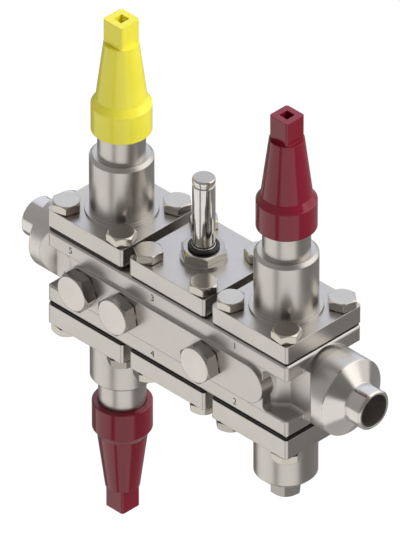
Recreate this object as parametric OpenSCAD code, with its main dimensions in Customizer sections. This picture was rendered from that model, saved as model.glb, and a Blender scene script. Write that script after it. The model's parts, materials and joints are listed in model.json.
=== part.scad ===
// Refrigeration valve station: one cast housing with six bolted function modules.
// Stations stand in a row along X. Upper modules point to +Z, lower ones to -Z.
// The origin is the centre of the outlet weld end's face, +X runs towards the inlet.

/* [Stations] */
// Gap between the plates of neighbouring stations
plate_gap = 6; // [3:0.5:20]
// Distance from the rims' ends to the faces of the weld ends
end_over = 43.5; // [39:0.5:67]

/* [Housing] */
// Height of the machined module faces above and below the pipe axis
face_h = 27.2; // [27.2:0.2:32]
// Thickness of the upper rim
rim_top_t = 12.2; // [12:0.1:13]
// Thickness of the lower rim
rim_low_t = 12.7; // [12:0.1:14]
// Rounding of the rims' edges next to the modules
rim_edge_r = 2.6; // [1:0.1:3]
// Rounding of the rims' other edges
rim_inner_r = 1.5; // [0.5:0.1:2]
// Rounding of the rims' upright corners
rim_corner_r = 3; // [2:0.5:6]
// Outer radius of the chamber walls between the rims
core_r = 28.5; // [26:0.5:30]
// Distance of the slanted flats on the end chambers from the station axis
core_flat = 27.9; // [25:0.1:29]
// Width of the necks between the end chambers and the hubs
neck_w = 36; // [30:1:40]
// How far the neck's flats run out past the rims
neck_over = 6; // [4:0.5:9]
// Height of the long front and back pads
pad_h = 27.5; // [24:0.5:28]
// Height of the pads' middle above the pipe axis
pad_mid = 0.3; // [-0.5:0.1:0.5]
// How far the pads stand out from the rims
pad_out = 2.3; // [0.5:0.1:4]

/* [Chambers and passages] */
// Radius of the module chambers
chamber_r = 18; // [16:0.5:19]
// Thickness of the wall between an upper and a lower chamber
divider_t = 12; // [10:1:14]
// Radius of the opening through that wall
port_r = 9; // [7:0.5:10]
// Radius of the slanted passages between stations
passage_r = 7; // [5:0.5:8]

/* [Weld ends] */
// Outer diameter of the weld ends
stub_d = 26.9; // [20:0.1:34]
// Bore of the weld ends
bore_d = 22.3; // [16:0.1:24]
// Length of the weld ends' straight outside
stub_l = 12.7; // [8:0.1:16]
// Size of the weld bevel
bevel = 1.2; // [0.5:0.1:1.8]
// Radius of the hubs
hub_r = 26; // [22:0.5:26]
// Length of the cone between a hub and its weld end
hub_cone_l = 7.5; // [5:0.5:10]
// Depth of the straight bore
bore_l = 34; // [28:1:40]

/* [Side ports] */
// Radius of the side ports' threaded bores
side_bore_r = 8.5; // [7:0.5:9]
// Depth of the side ports' threaded bores
side_bore_l = 11; // [9:0.5:12]
// Radius of the drillings from the side ports to the passages
side_drill_r = 4; // [2:0.5:5]
// Width across flats of the side plugs
plug_hex = 24; // [20:1:26]
// Height of the side plugs' heads with their seals
plug_head_h = 9.4; // [8:0.1:16]
// Thickness of the side plugs' seals
plug_seal_t = 0.6; // [0.5:0.1:1.5]

/* [Module plates] */
// Side of the square module plates, and the width of the housing
plate_w = 66; // [62:1:68]
// Thickness of the module plates
plate_t = 12.5; // [12:0.5:18]
// How much thicker the plates of the lower valve and the strainer are
plate_more = 1.4; // [0.2:0.1:3]
// How much higher the regulating valve sits, on a thicker gasket
high_seat = 1.5; // [0.2:0.1:2]
// Rounding of the plates' upright corners
plate_r = 2.5; // [1:0.5:5]
// Thickness of the gaskets under the plates
gasket_t = 2; // [0.8:0.1:3]
// How far the gaskets stay back from the plates' edges
gasket_back = 0.6; // [0.5:0.1:3]
// Depth of the plates' spigots in the chambers
spigot_l = 7; // [5:0.5:9]

/* [Bolts] */
// Distance of the bolts from the two plate edges next to them
bolt_edge = 8.7; // [8.5:0.1:9.5]
// Diameter of the bolts
bolt_d = 10; // [8:1:10]
// Width across flats of the bolt heads
bolt_hex = 17; // [14:1:17]
// Height of the bolt heads
bolt_head_h = 6.4; // [5:0.1:8]
// Depth of the bolts in the housing
bolt_bite = 9.5; // [8:0.1:10]
// Height of the round foot under a bolt's head
bolt_foot_h = 0.6; // [0.3:0.1:1]

/* [Valve bonnets] */
// Gap between the low ring on the plate and the corners of the bolt heads
ring_gap = 1.25; // [0.5:0.05:3]
// Height of the low ring on the plate
ring_h = 1.5; // [1:0.1:3]
// Radius of the bonnet's barrel
barrel_r = 20.35; // [18:0.05:22]
// Height of the barrel above the plate
barrel_h = 42.3; // [36:0.1:50]
// Chamfer on the barrel's end
barrel_chamfer = 2.2; // [1:0.1:4]
// Radius of the neck that carries the cap
neck_r = 15.2; // [14:0.1:16]
// Length of neck that shows between barrel and cap
neck_show = 18.2; // [12:0.1:24]
// Length of neck inside the cap
neck_in = 14; // [10:0.5:16]

/* [Spindles] */
// Radius of the spindle's shaft
shaft_r = 5; // [4:0.1:6]
// Radius of the spindle's threaded length
screw_r = 7; // [6.5:0.1:8]
// Length of the spindle's threaded length
screw_l = 20; // [14:1:22]
// Lift of a valve cone from closed to open
lift = 8; // [5:0.5:9]
// Width across flats of the spindle's square end
spindle_sq = 6.6; // [5:0.1:7]
// Length of the spindle's square end
spindle_sq_l = 14; // [10:1:16]
// Width across flats of the packing gland
gland_hex = 19; // [17:0.5:20]
// Height of the gland's hexagon
gland_h = 7; // [5:0.5:8]

/* [Cones and seats] */
// Radius of a valve cone's body
cone_r = 11.5; // [10.5:0.1:12]
// Height of a valve cone's body
cone_h = 12; // [10:0.5:13]
// Length of the regulating cone's needle
needle_l = 9; // [6:0.5:11]
// Height of the seat rings in the chambers
seat_h = 5; // [4:0.5:6]

/* [Caps] */
// Radius of the cap's collar
collar_r = 19.2; // [18.5:0.1:21]
// Height of the cap's collar
collar_h = 20.3; // [18:0.1:24]
// Radius at the foot of the cap's cone
cap_foot_r = 16.2; // [15.5:0.1:17]
// Height of the chamfer between the collar and the cone
cap_step_h = 4.3; // [3:0.1:6]
// Height of the cap's cone
cap_cone_h = 40.6; // [38:0.5:50]
// Radius at the top of the cap's cone
cap_head_r = 11.1; // [10.5:0.1:12]
// Height of the square head
cap_head_h = 16.9; // [12:0.1:20]
// Side of the square head on the stop valves' caps
cap_sq = 15.6; // [14:0.1:16]
// Side of the square head on the regulating valve's cap
cap_sq_reg = 16.4; // [14:0.1:17]
// Rounding of the square head's upright edges
cap_corner_r = 1.8; // [0.5:0.1:3]
// Side of the square key hole in the head
cap_key = 7; // [6:0.1:9]
// Depth of the square key hole
cap_key_l = 12; // [9:0.5:14]
// Thickness of the seal under the cap
cap_seal_t = 1.2; // [0.8:0.1:2]

/* [Strainer] */
// Radius of the strainer cover's barrel
strainer_r = 20.2; // [18.5:0.1:22]
// Height of the strainer cover's barrel
strainer_h = 42.8; // [36:0.1:50]
// Chamfer on the barrel's end
strainer_chamfer = 2.8; // [1:0.1:4]
// Radius of the boss around the drain plug
drain_boss_r = 14.6; // [13:0.1:16]
// Height of that boss
drain_boss_h = 2.3; // [1.5:0.1:4]
// Width across flats of the drain plug
drain_hex = 18; // [15:0.5:20]
// Height of the drain plug's head with its seal
drain_head_h = 11.6; // [7:0.1:13]
// Radius of the drain hole
drain_r = 6; // [5:0.5:7]
// Outer radius of the screen
screen_r = 13; // [11:0.5:13.5]

/* [Solenoid valve] */
// Radius of the round foot of the armature tube
tube_foot_r = 15; // [13.5:0.1:17]
// Width across flats of the tube's hexagon
tube_hex = 26; // [24:1:28]
// Height of the tube's hexagon
tube_hex_h = 6.4; // [5:0.1:9]
// Outer radius of the armature tube
tube_r = 7.3; // [7:0.1:8]
// Height of the armature tube above the plate
tube_h = 60.8; // [55:0.1:70]
// Wall of the armature tube
tube_wall = 0.7; // [0.5:0.05:0.9]
// Stroke of the armature
armature_stroke = 2.5; // [1.5:0.1:3]
// Radius of the servo piston
piston_r = 13; // [11:0.1:13.5]
// Stroke of the servo piston
piston_stroke = 6; // [4:0.5:7]
// Thickness of the rubber ring at the tube's foot
coil_ring_t = 2.4; // [1.6:0.1:3]
// Height of the step on the tube that the rubber ring sits on
ring_step_h = 0.3; // [0.3:0.1:1]

/* [Check valve] */
// Stroke of the check disc
disc_stroke = 5; // [3:0.5:6]
// Radius of the check disc
disc_r = 12; // [11:0.1:13]
// Depth of the cover's pocket around the check valve's stem guide
check_pocket_h = 9; // [6:0.5:12]

/* [Fits] */
// Radial clearance of shafts in their bearings
run_fit = 0.05; // [0.03:0.01:0.1]
// Gap between pieces that move apart
gap = 0.3; // [0.3:0.05:0.5]
// Radial clearance of pieces that are assembled and stay put
seat_fit = 0.1; // [0.05:0.05:0.2]

/* [Hidden] */
$fn = 64;

// Outer sizes of the housing
pitch = plate_w + plate_gap;
end_reach = plate_w / 2 + end_over;
bolt_off = plate_w / 2 - bolt_edge;
ring_r = norm([bolt_off, bolt_off]) - bolt_hex / 2 / cos(30) - ring_gap;
rim_l = 2 * pitch + plate_w;
mid_x = end_reach + pitch;
total_l = 2 * mid_x;
hub_end = pitch + end_reach - stub_l - hub_cone_l;
neck_end = rim_l / 2 + neck_over;
floor_h = divider_t / 2;
rim_top_z = face_h - rim_top_t;
rim_low_z = -face_h + rim_low_t;
pad_y = plate_w / 2 + pad_out;

// Heights that the modules share, measured from the pipe axis
plate_z = face_h + gasket_t;
plate_top = plate_z + plate_t;
spigot_z = face_h - spigot_l;
barrel_top = plate_top + barrel_h;
cap_z = barrel_top + neck_show;
neck_top = cap_z + neck_in;
gland_top = neck_top + gland_h;

// Valve cone, seat and spindle
seat_top = floor_h + seat_h;
cone_z = seat_top + gap;
cone_top = cone_z + cone_h;
cone_room = cone_top + lift + gap;
screw_z = cone_room + gap;
screw_room = screw_z + screw_l + lift + gap;
packing_l = 8;
spindle_grip = 7;
gland_shank_l = 10;
packing_z = neck_top - gland_shank_l - packing_l;
packing_r = screw_r + 1.5;

// Inside of the cap
cap_bore_r = neck_r + gap;
cap_seat_z = neck_top + cap_seal_t + gap;
cap_wall = 4;
cap_cone_z = cap_z + collar_h + cap_step_h;
cap_head_z = cap_cone_z + cap_cone_h;
cap_top = cap_head_z + cap_head_h;
cap_roof_t = 7;
cap_roof_z = cap_head_z - cap_roof_t;
cap_shoulder_r = gland_hex / 2 / cos(30) + 1.2;

// Strainer
strainer_end = plate_top + strainer_h;
boss_end = strainer_end + drain_boss_h;
strainer_floor_t = 6;
strainer_floor = strainer_end - strainer_floor_t;
screen_rim = 4;
strainer_cavity_r = screen_r + 2;

// Solenoid valve
tube_hex_z = plate_top + 1.9;
tube_hex_turn = 24;
tube_top = plate_top + tube_h;
tube_bore_r = tube_r - tube_wall;
tube_collar_r = tube_r + ring_step_h;
armature_r = tube_bore_r - run_fit;
web_depth = 8.4;
web_top = plate_top - web_depth;
web_t = 3;
armature_z = web_top + gap;
armature_l = 40;
armature_top = armature_z + armature_l;
core_z = armature_top + armature_stroke + gap;
shank_r = 11;
armature_spring_r = 2.6;
spring_room = 12;
piston_floor = 4;
piston_z = seat_top + gap;
piston_l = web_top - web_t - piston_z - piston_stroke - gap;
piston_spring_r = piston_r - 4;

// Check valve
disc_z = seat_top + gap;
disc_t = 3;
stem_r = 3;
stem_l = 15.3;
stem_guide_r = stem_r + 3;
check_spring_r = stem_guide_r + 3.5;
check_pocket_z = spigot_z + check_pocket_h;

// Angles of the hexagons and squares about their own axes
plug_turn = [-4, 41, 43];
bolt_turn = [13, -7, 4, 20];
module_turn = [0, 9, 17, 26, 0, 38];
module_high = [0, plate_more, 0, 0, high_seat, plate_more];

function station_x(i) = end_reach + i * pitch;
function side_x(i) = [station_x(0), station_x(0) + pitch / 2, station_x(1) + pitch / 2][i];

// Plain building blocks

module rounded_rect(l, w, r) {
    square([l - 2 * r, w], center = true);
    square([l, w - 2 * r], center = true);
    for (x = [-1, 1], y = [-1, 1])
        translate([x * (l / 2 - r), y * (w / 2 - r)]) circle(r);
}

// Rectangle whose upper corners are rounded by r and whose lower ones by r_low
module loaf(w, h, r, r_low) {
    translate([-w / 2, r_low]) square([w, h - r - r_low]);
    translate([-w / 2 + r, h / 2]) square([w - 2 * r, h / 2]);
    translate([-w / 2 + r_low, 0]) square([w - 2 * r_low, h / 2]);
    for (x = [-1, 1]) {
        translate([x * (w / 2 - r), h - r]) circle(r);
        translate([x * (w / 2 - r_low), r_low]) circle(r_low);
    }
}

// Ring about Z from z0 to z1
module ring(r_out, r_in, z0, z1) {
    difference() {
        translate([0, 0, z0]) cylinder(r = r_out, h = z1 - z0);
        translate([0, 0, z0 - 1]) cylinder(r = r_in, h = z1 - z0 + 2);
    }
}

// Hexagon prism with its upper edge chamfered round
module hex_head(across, h, chamfer) {
    intersection() {
        cylinder(d = across / cos(30), h = h, $fn = 6);
        union() {
            cylinder(d = across / cos(30) + 1, h = h - chamfer);
            translate([0, 0, h - chamfer])
                cylinder(d1 = across / cos(30) + 0.5, d2 = across - 0.8, h = chamfer);
        }
    }
}

// Round bar between two points in the XZ plane
module slant_bore(x0, z0, x1, z1, r) {
    length = norm([x1 - x0, z1 - z0]);
    translate([x0, 0, z0]) rotate([0, atan2(x1 - x0, z1 - z0), 0]) cylinder(r = r, h = length);
}

// Coil spring about Z from z0 to z1, as one swept tube
module coil(r, wire, turns, z0, z1) {
    sides = 8;
    steps = turns * 14;
    rise = z1 - z0 - 2 * wire;
    function spoke(i, j) = let (a = 360 * turns * i / steps, b = 360 * j / sides,
        q = r - wire + wire * cos(b))
        [q * cos(a), q * sin(a), z0 + wire + rise * i / steps + wire * sin(b)];
    points = [for (i = [0:steps], j = [0:sides - 1]) spoke(i, j)];
    walls = [for (i = [0:steps - 1], j = [0:sides - 1]) let (k = (j + 1) % sides)
        [i * sides + j, (i + 1) * sides + j, (i + 1) * sides + k, i * sides + k]];
    first = [for (j = [0:sides - 1]) j];
    last = [for (j = [sides - 1:-1:0]) steps * sides + j];
    polyhedron(points, concat([first], walls, [last]), convexity = 10);
}

// Puts a module's shapes on its station: side 1 is above, side -1 below the housing
module at(station, side, rise = 0) {
    translate([station_x(station), 0, 0]) mirror([0, 0, side < 0 ? 1 : 0])
        translate([0, 0, rise]) children();
}

// Housing

module rim(z0, thick, side) {
    translate([0, 0, z0]) mirror([0, 0, side < 0 ? 1 : 0]) intersection() {
        linear_extrude(thick) rounded_rect(rim_l, plate_w, rim_corner_r);
        rotate([90, 0, 90]) linear_extrude(rim_l, center = true)
            loaf(plate_w, thick, rim_edge_r, rim_inner_r);
        rotate([90, 0, 0]) linear_extrude(plate_w, center = true)
            loaf(rim_l, thick, rim_edge_r, rim_inner_r);
    }
}

module chamber_walls() {
    translate([0, 0, -face_h + 1]) linear_extrude(2 * face_h - 2) {
        square([2 * pitch, 2 * core_r], center = true);
        for (side = [-1, 1]) translate([side * pitch, 0]) intersection() {
            circle(core_r);
            rotate(45) square(2 * core_flat, center = true);
        }
    }
}

// Long front and back pads, and the straight walls that join them to the rims
module pads() {
    rotate([90, 0, 0]) linear_extrude(2 * pad_y, center = true) translate([0, pad_mid]) {
        square([2 * pitch, pad_h], center = true);
        for (side = [-1, 1]) translate([side * pitch, 0]) circle(pad_h / 2);
    }
    translate([-pitch, -plate_w / 2, rim_low_z - rim_inner_r])
        cube([2 * pitch, plate_w, rim_top_z - rim_low_z + 2 * rim_inner_r]);
}

// One end, towards +X: neck, hub, cone and weld end
module pipe_end() {
    spread = hub_r - neck_w / 2 + 2;
    difference() {
        rotate([0, 90, 0]) rotate_extrude() polygon([
            [0, pitch], [hub_r, pitch], [hub_r, hub_end],
            [stub_d / 2, hub_end + hub_cone_l], [stub_d / 2, mid_x - bevel],
            [stub_d / 2 - bevel, mid_x], [0, mid_x],
        ]);
        for (side = [0, 1]) mirror([0, side, 0])
            translate([0, 0, -hub_r - 1]) linear_extrude(2 * hub_r + 2) polygon([
                [pitch - 1, neck_w / 2], [neck_end, neck_w / 2],
                [neck_end + spread, neck_w / 2 + spread], [pitch - 1, neck_w / 2 + spread],
            ]);
    }
}

module housing_outside() {
    rim(rim_top_z, rim_top_t, 1);
    rim(rim_low_z, rim_low_t, -1);
    chamber_walls();
    pads();
    for (side = [0, 1]) mirror([side, 0, 0]) pipe_end();
}

module passages() {
    level = (floor_h + spigot_z) / 2;
    for (s = [0, 1]) {
        x0 = station_x(s);
        x1 = station_x(s + 1);
        slant_bore(x0 + chamber_r - 5, level, x1 - chamber_r + 5, -level, passage_r);
    }
    slant_bore(total_l - bore_l, 0, station_x(2) + chamber_r - 4, level, passage_r + 1.5);
    slant_bore(bore_l, 0, station_x(0) - chamber_r + 4, -level, passage_r + 1.5);
}

module housing() {
    color("#c8c4bf") difference() {
        translate([mid_x, 0, 0]) housing_outside();
        for (s = [0:2], side = [-1, 1]) at(s, side) {
            translate([0, 0, floor_h]) cylinder(r = chamber_r, h = face_h);
            for (x = [-1, 1], y = [-1, 1])
                translate([x * bolt_off, y * bolt_off, face_h - bolt_bite - 1])
                    cylinder(d = bolt_d, h = bolt_bite + 2);
        }
        for (s = [0:2]) translate([station_x(s), 0, -face_h]) cylinder(r = port_r, h = 2 * face_h);
        passages();
        for (x = [-1, total_l - bore_l]) translate([x, 0, 0]) rotate([0, 90, 0])
            cylinder(d = bore_d, h = bore_l + 1);
        for (i = [0:2]) translate([side_x(i), 0, 0]) rotate([90, 0, 0]) {
            cylinder(r = side_drill_r, h = plate_w);
            translate([0, 0, pad_y - side_bore_l]) cylinder(r = side_bore_r, h = side_bore_l + 1);
        }
    }
}

// Side ports

module side_plug(i) {
    color("#b9b6b2") translate([side_x(i), -pad_y, 0]) rotate([90, 0, 0]) {
        translate([0, 0, plug_seal_t]) rotate(plug_turn[i])
            hex_head(plug_hex, plug_head_h - plug_seal_t, 1.6);
        translate([0, 0, 1 - side_bore_l])
            cylinder(r = side_bore_r - seat_fit, h = side_bore_l + plug_seal_t);
    }
}

module side_seal(i) {
    color("#3a3a3c") translate([side_x(i), -pad_y, 0]) rotate([90, 0, 0])
        ring(plug_hex / 2 - 1.5, side_bore_r, 0, plug_seal_t);
}

// Parts that every module has, drawn for an upper station

module gasket(more = 0) {
    side = plate_w - 2 * gasket_back;
    color("#1c1c1e") translate([0, 0, face_h]) difference() {
        linear_extrude(gasket_t + more) rounded_rect(side, side, plate_r);
        translate([0, 0, -1]) cylinder(r = chamber_r, h = gasket_t + more + 2);
        for (x = [-1, 1], y = [-1, 1]) translate([x * bolt_off, y * bolt_off, -1])
            cylinder(d = bolt_d + 1, h = gasket_t + more + 2);
    }
}

module bolts(number) {
    foot_z = plate_top + module_high[number - 1];
    bolt_end = face_h - bolt_bite;
    color("#d4d3d6") for (k = [0:3])
        translate([(k % 2 == 0 ? -1 : 1) * bolt_off, (k < 2 ? -1 : 1) * bolt_off, 0]) {
            translate([0, 0, foot_z]) cylinder(r = bolt_hex / 2 - 0.8, h = bolt_foot_h + 1);
            translate([0, 0, foot_z + bolt_foot_h]) rotate(module_turn[number - 1] + bolt_turn[k])
                hex_head(bolt_hex, bolt_head_h - bolt_foot_h, 1.3);
            translate([0, 0, bolt_end])
                cylinder(d = bolt_d - 2 * seat_fit, h = foot_z - bolt_end + 1);
        }
}

module plate_block(more = 0) {
    translate([0, 0, plate_z]) linear_extrude(plate_t + more) rounded_rect(plate_w, plate_w, plate_r);
    translate([0, 0, spigot_z]) cylinder(r = chamber_r - seat_fit, h = plate_z - spigot_z + 1);
}

module plate_holes() {
    for (x = [-1, 1], y = [-1, 1]) translate([x * bolt_off, y * bolt_off, plate_z - 1])
        cylinder(d = bolt_d + 1, h = plate_t + plate_more + 2);
}

module seat(more = 0) {
    color("#a8a6a2") difference() {
        ring(chamber_r - seat_fit, port_r, floor_h, seat_top + more);
        translate([0, 0, seat_top + more - 1.6]) cylinder(r1 = port_r, r2 = port_r + 2, h = 1.7);
    }
}

// Stop and regulating valves, drawn for an upper station

module bonnet(more = 0) {
    ring_top = plate_top + more + ring_h;
    color("#c8c4bf") difference() {
        union() {
            plate_block(more);
            rotate_extrude() polygon([
                [0, plate_z], [ring_r, plate_z], [ring_r, ring_top],
                [barrel_r, ring_top], [barrel_r, barrel_top - barrel_chamfer],
                [barrel_r - barrel_chamfer, barrel_top], [neck_r, barrel_top],
                [neck_r, neck_top - 1], [neck_r - 1, neck_top], [0, neck_top],
            ]);
        }
        plate_holes();
        translate([0, 0, spigot_z - 1]) cylinder(r = cone_r + gap, h = cone_room - spigot_z + 1);
        translate([0, 0, cone_room - 1]) cylinder(r = screw_r + run_fit, h = screw_room - cone_room + 1);
        translate([0, 0, screw_room - 1]) cylinder(r = shaft_r + run_fit, h = neck_top);
        translate([0, 0, packing_z]) cylinder(r = packing_r, h = neck_top);
    }
}

module packing() {
    color("#2b2b2d") ring(packing_r - seat_fit, shaft_r + run_fit, packing_z, packing_z + packing_l);
}

module gland() {
    color("#b0aeaa") difference() {
        union() {
            translate([0, 0, neck_top - gland_shank_l])
                cylinder(r = packing_r - seat_fit, h = gland_shank_l + 1);
            translate([0, 0, neck_top]) hex_head(gland_hex, gland_h, 1);
        }
        translate([0, 0, packing_z]) cylinder(r = shaft_r + run_fit, h = gland_top);
    }
}

module spindle() {
    foot_z = cone_top - spindle_grip;
    color("#b9b7b4") union() {
        translate([0, 0, foot_z]) cylinder(r = shaft_r, h = gland_top + gap - foot_z);
        translate([0, 0, screw_z]) cylinder(r = screw_r, h = screw_l);
        translate([0, 0, gland_top + gap]) intersection() {
            translate([-spindle_sq / 2, -spindle_sq / 2, -1])
                cube([spindle_sq, spindle_sq, spindle_sq_l + 1]);
            union() {
                translate([0, 0, -1]) cylinder(r = shaft_r - 0.4, h = spindle_sq_l);
                translate([0, 0, spindle_sq_l - 1])
                    cylinder(r1 = shaft_r - 0.4, r2 = shaft_r - 1.6, h = 1);
            }
        }
    }
}

// A stop valve's cone is short, a regulating valve's ends in a tapered needle
module cone(regulating) {
    nose = regulating ? needle_l : 2.5;
    tip_r = regulating ? 2 : port_r - 1.4;
    color("#a09e9a") difference() {
        rotate_extrude() polygon([
            [0, cone_z - nose], [tip_r, cone_z - nose], [port_r - gap, cone_z - 1.6],
            [port_r + 2, cone_z + 0.6], [cone_r, cone_z + 0.6], [cone_r, cone_top - 1],
            [cone_r - 1, cone_top], [0, cone_top],
        ]);
        translate([0, 0, cone_top - spindle_grip - gap])
            cylinder(r = shaft_r + run_fit, h = spindle_grip + 1);
    }
}

module cap_seal() {
    color("#1c1c1e") ring(neck_r - 1, cap_shoulder_r, neck_top, neck_top + cap_seal_t);
}

module cap(tint, sq) {
    inner_foot_r = cap_foot_r - cap_wall;
    inner_roof_r = cap_head_r - cap_wall + 1;
    color(tint) difference() {
        union() {
            rotate_extrude() polygon([
                [0, cap_z], [collar_r - 0.6, cap_z], [collar_r, cap_z + 0.6],
                [collar_r, cap_z + collar_h - 0.6], [collar_r - 0.6, cap_z + collar_h],
                [cap_foot_r, cap_cone_z], [cap_head_r, cap_head_z], [0, cap_head_z],
            ]);
            intersection() {
                translate([0, 0, cap_head_z - 1]) union() {
                    cylinder(r = cap_head_r, h = cap_head_h + 0.4);
                    translate([0, 0, cap_head_h + 0.4])
                        cylinder(r1 = cap_head_r, r2 = cap_head_r - 0.6, h = 0.6);
                }
                translate([0, 0, cap_head_z - 1]) linear_extrude(cap_head_h + 1)
                    rounded_rect(sq, sq, cap_corner_r);
            }
        }
        translate([0, 0, cap_z - 1]) cylinder(r = cap_bore_r, h = cap_seat_z - cap_z + 1);
        translate([0, 0, cap_seat_z - 1]) cylinder(r = inner_foot_r, h = cap_cone_z - cap_seat_z + 1);
        translate([0, 0, cap_cone_z - 0.01])
            cylinder(r1 = inner_foot_r, r2 = inner_roof_r, h = cap_roof_z - cap_cone_z);
        translate([0, 0, cap_top - cap_key_l]) linear_extrude(cap_key_l + 1)
            square(cap_key, center = true);
    }
}

// Strainer, drawn for an upper station

module strainer_cover() {
    color("#c8c4bf") difference() {
        union() {
            plate_block(plate_more);
            rotate_extrude() polygon([
                [0, plate_z], [strainer_r, plate_z], [strainer_r, strainer_end - strainer_chamfer],
                [strainer_r - strainer_chamfer, strainer_end], [drain_boss_r, strainer_end],
                [drain_boss_r, boss_end], [0, boss_end],
            ]);
        }
        plate_holes();
        translate([0, 0, spigot_z - 1]) cylinder(r = strainer_cavity_r, h = strainer_floor - spigot_z + 1);
        translate([0, 0, strainer_floor - 1]) cylinder(r = drain_r, h = boss_end);
    }
}

module strainer_screen() {
    rows = 6;
    columns = 8;
    row_h = (strainer_floor - floor_h - 2 * screen_rim) / rows;
    color("#9a9893") difference() {
        ring(screen_r, screen_r - 1, floor_h, strainer_floor);
        for (i = [0:rows - 1], j = [0:columns - 1])
            rotate(360 * j / columns) translate([screen_r - 2, -3, floor_h + screen_rim + row_h * i + 1])
                cube([3, 6, row_h - 2]);
    }
}

module drain_seal() {
    color("#3a3a3c") ring(drain_hex / 2 - 0.3, drain_r, boss_end, boss_end + 1);
}

module drain_plug() {
    color("#cfcdcb") union() {
        translate([0, 0, boss_end + 1]) rotate(10) hex_head(drain_hex, drain_head_h - 1, 1.4);
        translate([0, 0, strainer_floor + 1])
            cylinder(r = drain_r - seat_fit, h = boss_end - strainer_floor + 1);
    }
}

// Solenoid valve, drawn for an upper station

module solenoid_flange() {
    color("#c8c4bf") difference() {
        plate_block();
        plate_holes();
        translate([0, 0, web_top]) cylinder(r = shank_r, h = plate_t);
        translate([0, 0, spigot_z - 1])
            cylinder(r = piston_r + run_fit, h = web_top - web_t - spigot_z + 1);
        cylinder(r = 1.5, h = plate_top);
    }
}

module armature_tube() {
    groove_z = tube_top - 5.5;
    color("#d8d7da") difference() {
        union() {
            translate([0, 0, web_top]) cylinder(r = shank_r - seat_fit, h = plate_top - web_top + 1);
            translate([0, 0, plate_top]) cylinder(r = tube_foot_r, h = tube_hex_z - plate_top);
            translate([0, 0, tube_hex_z]) rotate(tube_hex_turn) hex_head(tube_hex, tube_hex_h, 1.2);
            rotate_extrude() difference() {
                union() {
                    translate([0, plate_top]) square([tube_r, tube_h - 1.5]);
                    translate([0, plate_top])
                        square([tube_collar_r, tube_hex_z - plate_top + tube_hex_h + coil_ring_t]);
                    square([tube_r - 1.5, tube_top]);
                    translate([tube_r - 1.5, tube_top - 1.5]) circle(1.5);
                }
                translate([-tube_r, 0]) square([tube_r, tube_top + 1]);
                translate([-1, -1]) square([tube_r + 2, plate_top + 1]);
                translate([tube_r - 0.7, groove_z]) square([2, 2.2]);
            }
        }
        translate([0, 0, web_top - 1]) cylinder(r = tube_bore_r, h = core_z - web_top + 1);
    }
}

module coil_ring() {
    color("#1a1a1a") translate([0, 0, tube_hex_z + tube_hex_h + coil_ring_t / 2]) rotate_extrude()
        translate([tube_collar_r + (seat_fit + coil_ring_t) / 2, 0]) circle(coil_ring_t / 2, $fn = 24);
}

module armature() {
    bore_z = armature_top - spring_room;
    color("#8f8e90") difference() {
        rotate_extrude() polygon([
            [0, armature_z], [2.5, armature_z], [armature_r - 1.5, armature_z + 4],
            [armature_r, armature_z + 4], [armature_r, armature_top - 0.5],
            [armature_r - 0.5, armature_top], [0, armature_top],
        ]);
        translate([0, 0, bore_z]) cylinder(r = armature_spring_r + gap, h = spring_room + 1);
    }
}

module armature_spring() {
    color("#c0c0c4") coil(armature_spring_r, 0.4, 7, armature_top - spring_room, core_z);
}

module piston() {
    color("#b4b2ae") difference() {
        rotate_extrude() polygon([
            [0, piston_z - 1.4], [port_r - gap, piston_z - 1.4], [port_r + 2, piston_z + 0.6],
            [piston_r, piston_z + 0.6], [piston_r, piston_z + piston_l - 0.5],
            [piston_r - 0.5, piston_z + piston_l], [0, piston_z + piston_l],
        ]);
        translate([0, 0, piston_z + piston_floor]) cylinder(r = piston_spring_r + gap, h = piston_l);
        translate([0, 0, piston_z - 2]) cylinder(r = 1, h = piston_l);
    }
}

module piston_spring() {
    color("#c0c0c4") coil(piston_spring_r, 0.8, 4, piston_z + piston_floor, web_top - web_t);
}

// Check valve, drawn for an upper station

module check_cover() {
    color("#c8c4bf") difference() {
        plate_block();
        plate_holes();
        difference() {
            translate([0, 0, spigot_z - 1]) cylinder(r = chamber_r - 3, h = check_pocket_z - spigot_z + 1);
            cylinder(r = stem_guide_r, h = plate_top);
        }
        cylinder(r = stem_r + run_fit, h = disc_z + stem_l + disc_stroke + 1);
    }
}

module check_disc() {
    color("#a09e9a") union() {
        rotate_extrude() polygon([
            [0, disc_z - 1.4], [port_r - gap, disc_z - 1.4], [port_r + 2, disc_z + 0.6],
            [disc_r, disc_z + 0.6], [disc_r, disc_z + disc_t], [0, disc_z + disc_t],
        ]);
        translate([0, 0, disc_z]) cylinder(r = stem_r, h = stem_l);
    }
}

module check_spring() {
    color("#c0c0c4") coil(check_spring_r, 0.8, 4, disc_z + disc_t, check_pocket_z);
}

// Assembly

housing();

side_plug(0);  // side_plug_1
side_plug(1);  // side_plug_2
side_plug(2);  // side_plug_3
side_seal(0);  // side_seal_1
side_seal(1);  // side_seal_2
side_seal(2);  // side_seal_3

at(2, 1) gasket();  // gasket_1
at(2, -1) gasket();  // gasket_2
at(1, 1) gasket();  // gasket_3
at(1, -1) gasket();  // gasket_4
at(0, 1) gasket(high_seat);  // gasket_5
at(0, -1) gasket();  // gasket_6

at(2, 1) bolts(1);  // bolts_1
at(2, -1) bolts(2);  // bolts_2
at(1, 1) bolts(3);  // bolts_3
at(1, -1) bolts(4);  // bolts_4
at(0, 1) bolts(5);  // bolts_5
at(0, -1) bolts(6);  // bolts_6

at(2, 1) bonnet();  // bonnet_1
at(2, 1) seat();  // seat_1
at(2, 1) cone(false);  // cone_1
at(2, 1) spindle();  // spindle_1
at(2, 1) packing();  // packing_1
at(2, 1) gland();  // gland_1
at(2, 1) cap_seal();  // cap_seal_1
at(2, 1) cap("#8c1a2e", cap_sq);  // cap_1

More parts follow.
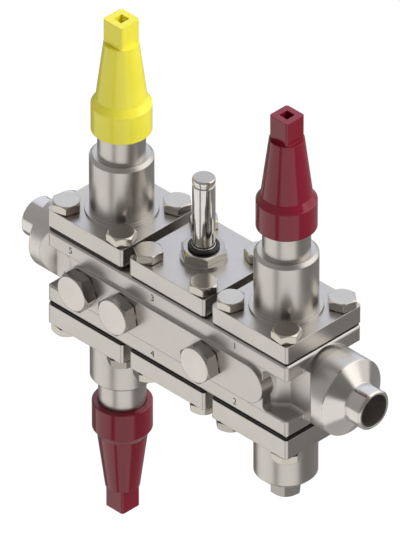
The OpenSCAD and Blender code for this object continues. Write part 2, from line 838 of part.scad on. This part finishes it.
at(0, 1, high_seat) bonnet();  // bonnet_5
at(0, 1) seat(high_seat);  // seat_5
at(0, 1, high_seat) cone(true);  // cone_5
at(0, 1, high_seat) spindle();  // spindle_5
at(0, 1, high_seat) packing();  // packing_5
at(0, 1, high_seat) gland();  // gland_5
at(0, 1, high_seat) cap_seal();  // cap_seal_5
at(0, 1, high_seat) cap("#ded63f", cap_sq_reg);  // cap_5

at(0, -1) bonnet(plate_more);  // bonnet_6
at(0, -1) seat();  // seat_6
at(0, -1) cone(false);  // cone_6
at(0, -1) spindle();  // spindle_6
at(0, -1) packing();  // packing_6
at(0, -1) gland();  // gland_6
at(0, -1) cap_seal();  // cap_seal_6
at(0, -1) cap("#8c1a2e", cap_sq);  // cap_6

at(2, -1) strainer_cover();
at(2, -1) strainer_screen();
at(2, -1) drain_plug();
at(2, -1) drain_seal();

at(1, 1) solenoid_flange();
at(1, 1) armature_tube();
at(1, 1) coil_ring();
at(1, 1) armature();
at(1, 1) armature_spring();
at(1, 1) seat();  // piston_seat
at(1, 1) piston();
at(1, 1) piston_spring();

at(1, -1) check_cover();
at(1, -1) seat();  // check_seat
at(1, -1) check_disc();
at(1, -1) check_spring();
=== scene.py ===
"""Looks of the refrigeration valve station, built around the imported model."""

import json
import math

import bmesh
import bpy
from mathutils import Matrix, Vector

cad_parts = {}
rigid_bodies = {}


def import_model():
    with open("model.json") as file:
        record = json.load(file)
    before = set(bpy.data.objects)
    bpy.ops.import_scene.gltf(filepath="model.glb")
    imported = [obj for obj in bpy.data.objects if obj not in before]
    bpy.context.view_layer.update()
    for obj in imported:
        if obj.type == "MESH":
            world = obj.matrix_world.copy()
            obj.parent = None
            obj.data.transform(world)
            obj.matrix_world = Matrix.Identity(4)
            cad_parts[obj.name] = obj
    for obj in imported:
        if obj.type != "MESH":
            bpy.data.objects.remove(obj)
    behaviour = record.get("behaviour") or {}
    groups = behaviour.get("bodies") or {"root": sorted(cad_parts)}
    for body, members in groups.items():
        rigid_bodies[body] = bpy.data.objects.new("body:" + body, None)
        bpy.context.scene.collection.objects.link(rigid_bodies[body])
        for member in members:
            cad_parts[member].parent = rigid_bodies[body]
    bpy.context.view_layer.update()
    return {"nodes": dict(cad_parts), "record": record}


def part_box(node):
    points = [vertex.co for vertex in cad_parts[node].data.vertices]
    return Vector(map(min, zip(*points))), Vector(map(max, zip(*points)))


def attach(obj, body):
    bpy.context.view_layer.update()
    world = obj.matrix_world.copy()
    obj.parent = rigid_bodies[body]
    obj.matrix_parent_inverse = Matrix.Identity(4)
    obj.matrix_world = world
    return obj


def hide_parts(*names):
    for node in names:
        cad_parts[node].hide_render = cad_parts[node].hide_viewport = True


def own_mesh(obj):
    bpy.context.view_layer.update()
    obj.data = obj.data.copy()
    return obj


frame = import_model()
nodes = frame["nodes"]
scene = bpy.context.scene

# Camera: a far one, because the photograph is a parallel view from the right front corner
VIEW_AZIMUTH = math.radians(45)
VIEW_ELEVATION = math.radians(35.264)
VIEW_DISTANCE = 11.5
VIEW_LENS = 1247.2
VIEW_CENTRE = Vector((0.1452, 0.0, 0.0319))
VIEW_NEAR, VIEW_FAR = 1.0, 60.0


def add_camera():
    data = bpy.data.cameras.new("camera")
    data.lens = VIEW_LENS
    data.clip_start, data.clip_end = VIEW_NEAR, VIEW_FAR
    camera = bpy.data.objects.new("camera", data)
    scene.collection.objects.link(camera)
    back = Vector((
        math.sin(VIEW_AZIMUTH) * math.cos(VIEW_ELEVATION),
        -math.cos(VIEW_AZIMUTH) * math.cos(VIEW_ELEVATION),
        math.sin(VIEW_ELEVATION),
    ))
    camera.location = VIEW_CENTRE + back * VIEW_DISTANCE
    camera.rotation_mode = "QUATERNION"
    camera.rotation_quaternion = (-back).to_track_quat("-Z", "Y")
    scene.camera = camera


# Finishes: radii and depths in metres, and how strongly steel varies
EDGE_R = 0.0006
CAST_EDGE_R = 0.0012
GRAIN_DEPTH = 0.00001
MARK_DEPTH = 0.000006
GRAIN_SCALE = 2200.0
STEEL_SPREAD = 0.04

# Where the housing's finish changes, as distances from its middle and from the pipe's axis
MIDDLE_X = 0.1485
HUB_FROM = 0.1125
CONE_FROM = 0.1272
BORE_R = 0.0116
HUB_STEEL = (0.70, 0.675, 0.645)
CONE_ROUGH = 0.13
BORE_ROUGH = 0.4

# Heights between which the solenoid tube is polished, and the finish beyond them
HEXAGON_TOP = 0.0501
TUBE_END = 0.1022
HEXAGON_STEEL = (0.50, 0.478, 0.447)
HEXAGON_ROUGH = 0.2

# The side plugs are darker behind this plane: painted shade on their hexagon sides
PLUG_FACE = -0.0445
PLUG_SIDE_PAINTED_SHADE = (0.42, 0.40, 0.375)


# Shader helpers

class Tree:
    """A material's or the world's node tree, with short calls to add and link nodes."""

    def __init__(self, owner, keep=False):
        owner.use_nodes = True
        self.tree = owner.node_tree
        if not keep:
            self.tree.nodes.clear()

    def add(self, kind, **settings):
        node = self.tree.nodes.new(kind)
        for name, value in settings.items():
            if hasattr(node, name):
                setattr(node, name, value)
            else:
                node.inputs[name.replace("_", " ")].default_value = value
        return node

    def link(self, out, socket):
        self.tree.links.new(out, socket)

    def math(self, operation, a, b):
        node = self.tree.nodes.new("ShaderNodeMath")
        node.operation = operation
        for socket, value in zip(node.inputs, (a, b)):
            if isinstance(value, (int, float)):
                socket.default_value = value
            else:
                self.link(value, socket)
        return node.outputs[0]

    def ramp(self, source, stops):
        node = self.tree.nodes.new("ShaderNodeValToRGB")
        self.link(source, node.inputs["Fac"])
        elements = node.color_ramp.elements
        while len(elements) < len(stops):
            elements.new(0.5)
        for element, (position, color) in zip(elements, stops):
            element.position = position
            element.color = (*color, 1.0)
        return node.outputs["Color"]


def srgb(code):
    """Linear colour of a hexadecimal screen colour."""
    parts = [int(code[i:i + 2], 16) / 255 for i in (0, 2, 4)]
    return tuple(p / 12.92 if p <= 0.04045 else ((p + 0.055) / 1.055) ** 2.4 for p in parts)


def principled(name, **values):
    material = bpy.data.materials.new(name)
    tree = Tree(material)
    shader = tree.add("ShaderNodeBsdfPrincipled")
    for key, value in values.items():
        shader.inputs[key.replace("_", " ")].default_value = value
    out = tree.add("ShaderNodeOutputMaterial")
    tree.link(shader.outputs["BSDF"], out.inputs["Surface"])
    return material, tree, shader


def noise(tree, scale, detail=3.0):
    coordinates = tree.add("ShaderNodeTexCoord")
    texture = tree.add("ShaderNodeTexNoise")
    texture.inputs["Scale"].default_value = scale
    texture.inputs["Detail"].default_value = detail
    texture.inputs["Roughness"].default_value = 0.55
    tree.link(coordinates.outputs["Object"], texture.inputs["Vector"])
    return texture.outputs["Fac"]


def soft_edges(tree, radius):
    """Normals that run softly over edges and into corners, as small radii would."""
    bevel = tree.add("ShaderNodeBevel", samples=6)
    bevel.inputs["Radius"].default_value = radius
    return bevel.outputs["Normal"]


def relief(tree, height, depth, normal):
    """Bump of a height texture, in metres, on top of other normals."""
    bump = tree.add("ShaderNodeBump")
    bump.inputs["Strength"].default_value = 1.0
    bump.inputs["Distance"].default_value = depth
    tree.link(height, bump.inputs["Height"])
    tree.link(normal, bump.inputs["Normal"])
    return bump.outputs["Normal"]


def lathe_marks(tree, axis):
    """Fine rings about an axis, from noise that only changes along it."""
    coordinates = tree.add("ShaderNodeTexCoord")
    stretch = tree.add("ShaderNodeMapping", vector_type="POINT")
    stretch.inputs["Scale"].default_value = tuple(9000.0 if a == axis else 12.0 for a in range(3))
    tree.link(coordinates.outputs["Object"], stretch.inputs["Vector"])
    texture = tree.add("ShaderNodeTexNoise", Scale=1.0, Detail=2.0)
    tree.link(stretch.outputs["Vector"], texture.inputs["Vector"])
    return texture.outputs["Fac"]


def metal(name, color, rough, edge=EDGE_R, turned=None):
    """Steel whose colour and roughness vary softly, with fine grain and, if turned, lathe marks."""
    material, tree, shader = principled(name, Metallic=1.0)
    cloud = noise(tree, 60.0)
    low = tuple(c * (1 - STEEL_SPREAD) for c in color)
    high = tuple(min(1.0, c * (1 + STEEL_SPREAD)) for c in color)
    tree.link(tree.ramp(cloud, [(0.3, low), (0.7, high)]), shader.inputs["Base Color"])
    swing = tree.math("MULTIPLY_ADD", cloud, 0.3 * rough)
    swing.node.inputs[2].default_value = 0.85 * rough
    tree.link(swing, shader.inputs["Roughness"])
    normal = relief(tree, noise(tree, GRAIN_SCALE, 4.0), GRAIN_DEPTH, soft_edges(tree, edge))
    if turned is not None:
        normal = relief(tree, lathe_marks(tree, turned), MARK_DEPTH, normal)
    tree.link(normal, shader.inputs["Normal"])
    return material


def plastic(name, color, rough):
    material, tree, shader = principled(name, Roughness=rough)
    shader.inputs["Specular IOR Level"].default_value = 0.5
    cloud = noise(tree, 45.0)
    low = tuple(c * 0.94 for c in color)
    tree.link(tree.ramp(cloud, [(0.3, low), (0.7, color)]), shader.inputs["Base Color"])
    normal = relief(tree, noise(tree, 900.0), GRAIN_DEPTH / 2, soft_edges(tree, EDGE_R))
    tree.link(normal, shader.inputs["Normal"])
    return material


def place(tree):
    """X, Y and Z of the shaded point."""
    coordinates = tree.add("ShaderNodeTexCoord")
    parts = tree.add("ShaderNodeSeparateXYZ")
    tree.link(coordinates.outputs["Object"], parts.inputs["Vector"])
    return parts.outputs


def swap(tree, socket, mask, value):
    """Where mask is 1, the socket gets this colour or number in place of what it had."""
    is_color = isinstance(value, tuple)
    kind, slot = ("RGBA", 2) if is_color else ("FLOAT", 0)
    mix = tree.add("ShaderNodeMix", data_type=kind)
    first, second = ([n for n in mix.inputs if n.name == side][slot] for side in "AB")
    tree.link(mask, mix.inputs["Factor"])
    tree.link(socket.links[0].from_socket, first)
    second.default_value = (*value, 1.0) if is_color else value
    tree.link([n for n in mix.outputs if n.name == "Result"][slot], socket)


def reopen(material):
    """The tree and the shader of a material that is already made."""
    tree = Tree(material, keep=True)
    return tree, next(n for n in tree.tree.nodes if n.type == "BSDF_PRINCIPLED")


def housing_steel(name, color, rough):
    """Blasted casting: lighter hubs, cones and weld ends turned smooth, and rougher bores."""
    material = metal(name, color, rough, edge=CAST_EDGE_R)
    tree, shader = reopen(material)
    x, y, z = place(tree)
    out = tree.math("ABSOLUTE", tree.math("SUBTRACT", x, MIDDLE_X), 0.0)
    around = tree.math("SQRT", tree.math("ADD", tree.math("MULTIPLY", y, y),
                                         tree.math("MULTIPLY", z, z)), 0.0)
    on_hub = tree.math("GREATER_THAN", out, HUB_FROM)
    on_cone = tree.math("GREATER_THAN", out, CONE_FROM)
    in_bore = tree.math("MULTIPLY", on_cone, tree.math("LESS_THAN", around, BORE_R))
    swap(tree, shader.inputs["Base Color"], on_hub, HUB_STEEL)
    swap(tree, shader.inputs["Roughness"], on_cone, CONE_ROUGH)
    swap(tree, shader.inputs["Roughness"], in_bore, BORE_ROUGH)
    return material


def tube_finish(name, color, rough):
    """Polished tube with a plainer, milled hexagon, foot and end."""
    material = metal(name, color, rough)
    tree, shader = reopen(material)
    z = place(tree)[2]
    plainer = tree.math("ADD", tree.math("LESS_THAN", z, HEXAGON_TOP),
                        tree.math("GREATER_THAN", z, TUBE_END))
    swap(tree, shader.inputs["Base Color"], plainer, HEXAGON_STEEL)
    swap(tree, shader.inputs["Roughness"], plainer, HEXAGON_ROUGH)
    return material


def plug_finish_and_shade(name, color, rough):
    """Turned plug, darker behind its bright front face; this darker colour on the sides is painted
    shade.
    """
    material = metal(name, color, rough, turned=1)
    tree, shader = reopen(material)
    # Painted shade: the hexagon sides and collars behind the face get a darker steel colour
    shade_behind = tree.math("GREATER_THAN", place(tree)[1], PLUG_FACE)
    swap(tree, shader.inputs["Base Color"], shade_behind, PLUG_SIDE_PAINTED_SHADE)
    return material


def node_materials():
    steel = (0.60, 0.575, 0.545)
    return {
        "cast_steel": housing_steel("cast_steel", steel, 0.34),
        "cover_steel": metal("cover_steel", steel, 0.31, turned=2),
        "plug_steel": plug_finish_and_shade("plug_steel", (0.66, 0.63, 0.60), 0.24),
        "bolt_steel": metal("bolt_steel", (0.60, 0.568, 0.515), 0.18, turned=2),
        "tube_steel": tube_finish("tube_steel", (0.72, 0.705, 0.68), 0.07),
        "inner_steel": metal("inner_steel", (0.55, 0.54, 0.52), 0.30, turned=2),
        "spring_steel": metal("spring_steel", (0.6, 0.6, 0.61), 0.25),
        "red_cap": plastic("red_cap", srgb("84142b"), 0.12),
        "yellow_cap": plastic("yellow_cap", srgb("fef44c"), 0.14),
        "rubber_ring": plastic("rubber_ring", (0.012, 0.012, 0.012), 0.35),
        "gasket": plastic("gasket", (0.004, 0.0035, 0.003), 0.6),
        "seal": metal("seal", (0.30, 0.30, 0.31), 0.35),
    }


def dress_nodes(materials):
    for part in frame["record"]["subparts"]:
        node = nodes[part["node"]]
        node.data.materials.clear()
        node.data.materials.append(materials[part["material_slot"]])


# Details that the solids leave out: pad ends and pockets at the casting's corners, plug collars

STATION_R = 0.0285
STATION_FLAT = 0.0279
NECK_HALF = 0.018
RIM_TOP_Z = 0.015
RIM_LOW_Z = -0.0145
RIM_END = 0.033
WALL_REACH = 0.012
WALL_FILLET = 0.003
WALL_BACK = 0.024
WALL_HEIGHT = 0.0095
FLOOR_FILLET = 0.0022
FILLET_STEPS = 8
FILLET_SUNK = 0.2
ROUND_ANGLES = -70, -63
CORNER_ANGLE = -45
OVERLAP = 0.0015
COLLAR_R = 0.0119
COLLAR_GAP = 0.00005
COLLAR_SIDES = 64


def arc(x, z, radius, start, end, steps=FILLET_STEPS):
    """Points on an arc, with its angles in degrees."""
    angles = [math.radians(start + (end - start) * i / steps) for i in range(steps + 1)]
    return [(x + radius * math.cos(a), z + radius * math.sin(a)) for a in angles]


def add_mesh(name, rings, materials, slot, body, closed=False):
    """Skin over a row of like rings of points, whose ends are joined or capped."""
    mesh = bmesh.new()
    rows = [[mesh.verts.new(point) for point in ring] for ring in rings]
    count = len(rows[0])
    for row, after in zip(rows, rows[1:] + rows[:1] if closed else rows[1:]):
        for i in range(count):
            k = (i + 1) % count
            mesh.faces.new((row[i], row[k], after[k], after[i]))
    if not closed:
        mesh.faces.new(rows[0])
        mesh.faces.new(rows[-1][::-1])
    bmesh.ops.recalc_face_normals(mesh, faces=mesh.faces)
    data = bpy.data.meshes.new(name)
    mesh.to_mesh(data)
    mesh.free()
    piece = bpy.data.objects.new(name, data)
    scene.collection.objects.link(piece)
    data.materials.append(materials[slot])
    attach(piece, body)


def wall_outline(side):
    """Outline in X and Z of the wall between a pad's round end and the rim above or below it."""
    edge = RIM_TOP_Z if side > 0 else -RIM_LOW_Z
    flare = arc(WALL_REACH + WALL_FILLET, edge - WALL_FILLET, WALL_FILLET, 90, 180)
    inner = edge - WALL_HEIGHT
    outline = [(0.0, inner), (0.0, edge + OVERLAP), (flare[0][0], edge + OVERLAP), *flare,
               (WALL_REACH, inner)]
    return [(x, side * z) for x, z in outline]


def floor_path():
    """Foot of the pocket's wall in X and Y, each with the direction away from the wall."""
    def on_circle(angle):
        a = math.radians(angle)
        return (STATION_R * math.cos(a), STATION_R * math.sin(a)), (math.cos(a), math.sin(a))
    half_flat = math.degrees(math.acos(STATION_FLAT / STATION_R))
    corner_x = STATION_FLAT * math.sqrt(2) - NECK_HALF
    mitre = math.tan(math.radians(-CORNER_ANGLE / 2))
    on_round = [on_circle(angle) for angle in (*ROUND_ANGLES, CORNER_ANGLE - half_flat)]
    return [*on_round, ((corner_x, -NECK_HALF), (mitre, -1.0)),
            ((RIM_END, -NECK_HALF), (0.0, -1.0))]


def add_pocket(name, station, end, face, front, materials, body):
    """Walls beside one end of a pad, and the fillet at the pocket's floor."""
    for side, word in ((1, "upper"), (-1, "lower")):
        rings = [[(station + end * x, face * y, z) for x, z in wall_outline(side)]
                 for y in (WALL_BACK, front)]
        add_mesh(f"pad_wall_{name}_{word}", rings, materials, "cast_steel", body)
    section = [(1 - x, 1 - z) for x, z in arc(0, 0, 1, 0, 90)]
    section += [(1.0, -FILLET_SUNK), (-FILLET_SUNK, -FILLET_SUNK), (-FILLET_SUNK, 1.0)]
    rings = []
    for (x, y), (out_x, out_y) in floor_path():
        rings.append([(station + end * (x + FLOOR_FILLET * a * out_x),
                       -face * (y + FLOOR_FILLET * a * out_y),
                       RIM_LOW_Z + FLOOR_FILLET * b) for a, b in section])
    add_mesh(f"pocket_fillet_{name}", rings, materials, "cast_steel", body)


def add_pockets(materials, body):
    for node, end, word in (("bonnet_1", 1, "right"), ("bonnet_5", -1, "left")):
        low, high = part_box(node)
        station = (low[0] + high[0]) / 2
        for face, place_word in ((-1, "front"), (1, "back")):
            add_pocket(f"{word}_{place_word}", station, end, face, high[1], materials, body)


def add_plug_collars(materials, body):
    """Round collars that close the seal gap behind the side plugs' hexagons."""
    for i in (1, 2, 3):
        low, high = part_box(f"side_seal_{i}")
        x, z = (low[0] + high[0]) / 2, (low[2] + high[2]) / 2
        inner, outer = (high[0] - low[0]) / 2 + COLLAR_GAP, COLLAR_R
        circle = [math.radians(360 * k / COLLAR_SIDES) for k in range(COLLAR_SIDES)]
        rings = [[(x + r * math.cos(a), y, z + r * math.sin(a)) for r, y in (
            (inner, low[1]), (outer, low[1]), (outer, high[1]), (inner, high[1]))]
            for a in circle]
        add_mesh(f"plug_collar_{i}", rings, materials, "plug_steel", body, closed=True)


# Copies of the springs in spring steel, riding on their joints' parent bodies, in place of the
# solids' ones

def add_springs(materials):
    for joint in frame["record"]["behaviour"]["joints"]:
        for entry in joint.get("deforming_nodes", []):
            add_spring(joint, entry["node"], materials["spring_steel"])


def add_spring(joint, node, material):
    coil = bpy.data.objects.new(node + "_coil", nodes[node].data.copy())
    scene.collection.objects.link(coil)
    coil.matrix_world = nodes[node].matrix_world
    coil.data.materials.clear()
    coil.data.materials.append(material)
    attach(coil, joint["parent"])
    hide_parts(node)
    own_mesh(coil)


# Plain station numbers, as thin dark marks on the rims, near where the photo has marks

NUMBER_SIZE = 0.0068
NUMBER_DEPTH = 0.00004
NUMBER_SHIFT = -0.012
UPPER_NUMBER_Z = 0.0190
LOWER_NUMBER_Z = -0.0232


def add_number(text, x, y, z, material, body):
    curve = bpy.data.curves.new("number_" + text, "FONT")
    curve.body = text
    curve.size = NUMBER_SIZE
    curve.extrude = NUMBER_DEPTH
    curve.align_x = "CENTER"
    pattern = bpy.data.objects.new("pattern", curve)
    scene.collection.objects.link(pattern)
    bpy.context.view_layer.update()
    data = bpy.data.meshes.new_from_object(pattern)
    bpy.data.objects.remove(pattern)
    data.transform(Matrix.Translation((x, y, z)) @ Matrix.Rotation(math.pi / 2, 4, "X"))
    piece = bpy.data.objects.new("number_" + text, data)
    scene.collection.objects.link(piece)
    data.materials.clear()
    data.materials.append(material)
    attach(piece, body)


def add_numbers(body):
    ink = metal("engraving", (0.05, 0.048, 0.044), 0.6)
    for node, upper, lower in (("bonnet_1", "1", "2"), ("solenoid_flange", "3", "4"),
                               ("bonnet_5", "5", "6")):
        low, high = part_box(node)
        x = (low[0] + high[0]) / 2 + NUMBER_SHIFT
        add_number(upper, x, low[1], UPPER_NUMBER_Z, ink, body)
        add_number(lower, x, low[1], LOWER_NUMBER_Z, ink, body)


# Studio: a world of soft panels for the object to reflect, behind a plain white floor

FLOOR_Z = -0.42
FLOOR_SIZE = 40.0
FLOOR_GREY = (0.9, 0.9, 0.9, 1)
FLOOR_GLOW = 1.06
FLOOR_GLOW_SHARE = 0.82
HIDDEN_FROM_OBJECT = "visible_diffuse", "visible_glossy", "visible_transmission"

# Brightness of the studio against the azimuth in degrees, where 0 is the camera's side and +90
# the right one, for the directions below the horizon, above it and high up
LOW_PANELS = [
    (-180, 0.30), (-150, 0.20), (-124, 0.20), (-116, 1.0), (-46, 1.0), (-40, 0.22), (-33, 0.22),
    (-27, 0.80), (-21, 1.0), (42, 0.97), (50, 0.24), (95, 0.24), (115, 0.28), (180, 0.30),
]
HIGH_PANELS = [
    (-180, 1.0), (-152, 0.9), (-142, 0.42), (-70, 0.38), (0, 0.24), (60, 0.16), (68, 0.85),
    (118, 0.85), (124, 0.7), (150, 0.9), (180, 1.0),
]
TOP_PANELS = [
    (-180, 1.0), (-152, 0.9), (-142, 0.42), (-70, 0.38), (0, 0.24), (60, 0.2), (68, 1.45),
    (128, 1.45), (134, 0.8), (150, 0.9), (180, 1.0),
]
DOWN_LEVEL = 0.48

# Heights of the view direction between which one zone goes over into the next
DOWN_BAND = -0.86, -0.78
HORIZON_BAND = -0.22, -0.08
TOP_BAND = 0.10, 0.22

# Tints of the light, and the azimuth from which the one behind the object holds
BACK_FROM = 150
WARM = (1.0, 0.98, 0.95)
COOL = (0.95, 0.99, 1.10)


def panel_ramp(tree, azimuth, panels, back_tint):
    """Panels in a warm light, apart from the ones right behind the object."""
    stops = []
    for angle, level in panels:
        tint = back_tint if abs(angle) >= BACK_FROM else WARM
        stops.append(((angle + 180) / 360, tuple(level * t for t in tint)))
    return tree.ramp(azimuth, stops)


def blend_up(tree, z, band, below, above):
    """Goes over from one colour to another as the direction's height z runs through a band."""
    height = tree.add("ShaderNodeMapRange", interpolation_type="SMOOTHSTEP")
    height.inputs["From Min"].default_value, height.inputs["From Max"].default_value = band
    tree.link(z, height.inputs["Value"])
    mix = tree.add("ShaderNodeMix", data_type="RGBA")
    tree.link(height.outputs["Result"], mix.inputs["Factor"])
    tree.link(below, mix.inputs["A"])
    tree.link(above, mix.inputs["B"])
    return mix.outputs["Result"]


def add_world():
    world = bpy.data.worlds.new("world")
    scene.world = world
    tree = Tree(world)
    coordinates = tree.add("ShaderNodeTexCoord")
    turned = tree.add("ShaderNodeVectorRotate", rotation_type="Z_AXIS", Angle=VIEW_AZIMUTH)
    tree.link(coordinates.outputs["Generated"], turned.inputs["Vector"])
    parts = tree.add("ShaderNodeSeparateXYZ")
    tree.link(turned.outputs["Vector"], parts.inputs["Vector"])
    angle = tree.math("ARCTAN2", parts.outputs["Y"], parts.outputs["X"])
    azimuth = tree.math("ADD", tree.math("DIVIDE", angle, 2 * math.pi), 0.5)
    z = parts.outputs["Z"]
    down = tree.add("ShaderNodeRGB")
    down.outputs[0].default_value = (*(DOWN_LEVEL * t for t in WARM), 1.0)
    low = panel_ramp(tree, azimuth, LOW_PANELS, WARM)
    high = panel_ramp(tree, azimuth, HIGH_PANELS, COOL)
    top = panel_ramp(tree, azimuth, TOP_PANELS, COOL)
    low = blend_up(tree, z, DOWN_BAND, down.outputs[0], low)
    high = blend_up(tree, z, TOP_BAND, high, top)
    studio = blend_up(tree, z, HORIZON_BAND, low, high)
    panels = tree.add("ShaderNodeBackground", Strength=1.0)
    tree.link(studio, panels.inputs["Color"])
    seen = tree.add("ShaderNodeBackground", Strength=1.0)
    seen.inputs["Color"].default_value = (1, 1, 1, 1)
    paths = tree.add("ShaderNodeLightPath")
    mix = tree.add("ShaderNodeMixShader")
    tree.link(paths.outputs["Is Camera Ray"], mix.inputs["Fac"])
    tree.link(panels.outputs["Background"], mix.inputs[1])
    tree.link(seen.outputs["Background"], mix.inputs[2])
    out = tree.add("ShaderNodeOutputWorld")
    tree.link(mix.outputs["Shader"], out.inputs["Surface"])


def add_floor():
    bpy.ops.mesh.primitive_plane_add(size=FLOOR_SIZE, location=(0, 0, FLOOR_Z))
    floor = bpy.context.object
    floor.name = "floor"
    for kind in HIDDEN_FROM_OBJECT:
        setattr(floor, kind, False)
    material = bpy.data.materials.new("floor")
    tree = Tree(material)
    diffuse = tree.add("ShaderNodeBsdfDiffuse")
    diffuse.inputs["Color"].default_value = FLOOR_GREY
    glow = tree.add("ShaderNodeEmission", Strength=FLOOR_GLOW)
    mix = tree.add("ShaderNodeMixShader", Fac=FLOOR_GLOW_SHARE)
    tree.link(diffuse.outputs["BSDF"], mix.inputs[1])
    tree.link(glow.outputs["Emission"], mix.inputs[2])
    out = tree.add("ShaderNodeOutputMaterial")
    tree.link(mix.outputs["Shader"], out.inputs["Surface"])
    floor.data.materials.append(material)


def add_lamp(name, position, aim, size, power):
    """Lamp that steel doesn't mirror: it lights only what isn't metal."""
    data = bpy.data.lights.new(name, "AREA")
    data.shape = "RECTANGLE"
    data.size, data.size_y = size
    data.energy = power
    lamp = bpy.data.objects.new(name, data)
    lamp.location = position
    lamp.rotation_mode = "QUATERNION"
    lamp.rotation_quaternion = (Vector(aim) - Vector(position)).to_track_quat("-Z", "Y")
    lamp.visible_glossy = False
    scene.collection.objects.link(lamp)


def add_lamps():
    middle = (0.15, 0, 0)
    add_lamp("key", (1.7, 1.0, 1.7), middle, (1.8, 1.4), 36)
    add_lamp("fill", (0.9, -1.7, -0.5), middle, (1.4, 1.4), 11)


scene.view_settings.view_transform = "Standard"
add_camera()
steels = node_materials()
dress_nodes(steels)
add_pockets(steels, "housing")
add_plug_collars(steels, "housing")
add_numbers("housing")
add_springs(steels)
add_world()
add_floor()
add_lamps()
